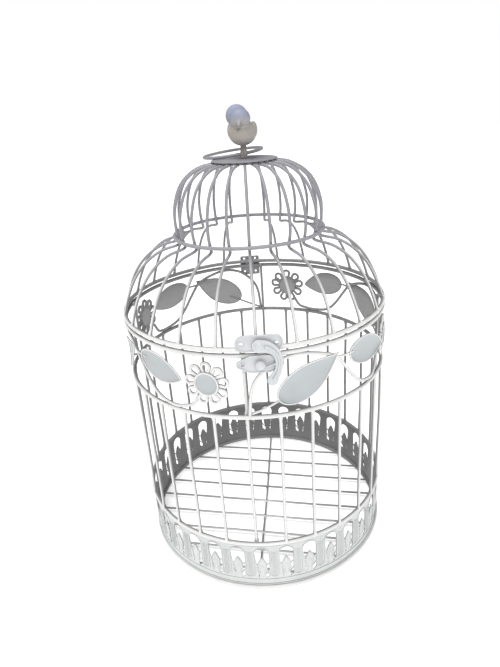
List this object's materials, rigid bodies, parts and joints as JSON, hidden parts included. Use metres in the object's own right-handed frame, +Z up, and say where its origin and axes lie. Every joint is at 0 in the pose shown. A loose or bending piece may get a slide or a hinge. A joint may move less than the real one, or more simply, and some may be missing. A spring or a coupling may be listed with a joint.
{
  "type": "card box",
  "caption": "Round wire birdcage box for wedding cards, with a hinged dome lid, a hook latch, a pierced base band, leaf and flower trim, a bird finial and a loose hanging ring.",
  "frame": {"origin": "centre of the foot ring, on the surface the cage stands on", "axes": "+Z up along the cage's axis, -Y to the latch side, +Y to the hinge side"},
  "size_m": [0.2558, 0.2661, 0.4289],
  "materials": {
    "white_paint": "satin",
    "leaf_paint": "satin",
    "bird_paint": "matt",
    "fitting_paint": "satin"
  },
  "bodies": {
    "cage": {"bottom_ring": "white_paint", "gallery_band": "white_paint", "gallery_top_ring": "white_paint", "mid_ring": "white_paint", "top_ring": "white_paint", "floor_mesh": "white_paint", "bar_01": "white_paint", "bar_02": "white_paint", "bar_03": "white_paint", "bar_04": "white_paint", "bar_05": "white_paint", "bar_06": "white_paint", "bar_07": "white_paint", "bar_08": "white_paint", "bar_09": "white_paint", "bar_10": "white_paint", "bar_11": "white_paint", "bar_12": "white_paint", "bar_13": "white_paint", "bar_14": "white_paint", "bar_15": "white_paint", "bar_16": "white_paint", "bar_17": "white_paint", "bar_18": "white_paint", "bar_19": "white_paint", "bar_20": "white_paint", "bar_21": "white_paint", "bar_22": "white_paint", "bar_23": "white_paint", "bar_24": "white_paint", "post_1": "white_paint", "post_2": "white_paint", "post_3": "white_paint", "post_4": "white_paint", "vine_1": "white_paint", "vine_2": "white_paint", "vine_3": "white_paint", "vine_4": "white_paint", "leaf_spray_1": "leaf_paint", "leaf_spray_2": "leaf_paint", "leaf_spray_3": "leaf_paint", "leaf_spray_4": "leaf_paint", "flower_1": "leaf_paint", "flower_2": "leaf_paint", "flower_3": "leaf_paint", "flower_4": "leaf_paint", "keeper_plate": "fitting_paint", "keeper_stud": "fitting_paint", "hinge_leaf_lower": "fitting_paint", "hinge_pin": "fitting_paint"},
    "lid": {"lid_ring": "white_paint", "dome_frame": "white_paint", "crown_cap": "white_paint", "finial_stem": "bird_paint", "finial_bird": "bird_paint", "latch_plate": "fitting_paint", "hook_rivet": "fitting_paint", "hinge_leaf_upper": "fitting_paint"},
    "latch_hook": {"latch_hook": "fitting_paint"},
    "hanging_ring": {"hanging_ring": "white_paint"}
  },
  "joints": [
    {"name": "lid_hinge", "type": "hinge", "parent": "cage", "child": "lid", "pos_m": [0, 0.13038, 0.25275], "axis": [-1, 0, 0], "range_deg": [0, 110]},
    {"name": "latch_hook_pivot", "type": "hinge", "parent": "lid", "child": "latch_hook", "pos_m": [0.002, -0.1308, 0.2601], "axis": [0, -1, 0], "range_deg": [0, 150]},
    {"name": "hanging_ring_swing", "type": "hinge", "parent": "lid", "child": "hanging_ring", "pos_m": [0, 0, 0.3892], "axis": [0.925, 0.37, 0.0872], "range_deg": [0, 160]}
  ]
}
